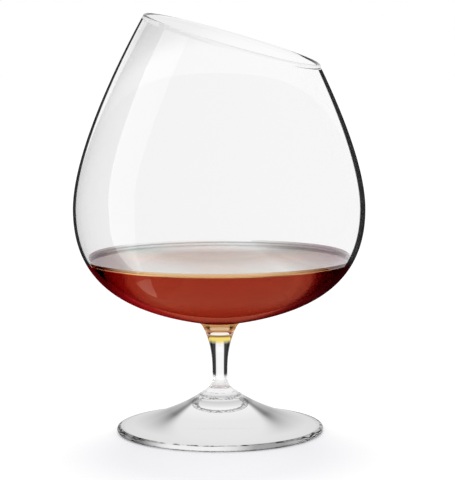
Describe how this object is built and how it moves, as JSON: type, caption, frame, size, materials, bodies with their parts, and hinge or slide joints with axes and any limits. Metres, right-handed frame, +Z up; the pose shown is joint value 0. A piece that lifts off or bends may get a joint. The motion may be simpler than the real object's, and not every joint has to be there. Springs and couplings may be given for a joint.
{
  "type": "brandy snifter",
  "caption": "Stemmed brandy snifter with a wide closing bowl cut on a slant at the mouth, a short drawn stem and a flared foot, holding a measure of brandy.",
  "frame": {"origin": "centre of the foot on the table", "axes": "+Z up along the stem; the slanted mouth is highest towards -X and lowest towards +X"},
  "size_m": [0.085, 0.085, 0.1224],
  "materials": {
    "bowl_glass": "clear, fire-polished",
    "stem_glass": "clear, fire-polished",
    "foot_glass": "clear, fire-polished",
    "brandy": "clear amber liquid with a level top"
  },
  "bodies": {
    "root": {"bowl": "bowl_glass", "stem": "stem_glass", "foot": "foot_glass", "brandy": "brandy"}
  },
  "joints": []
}
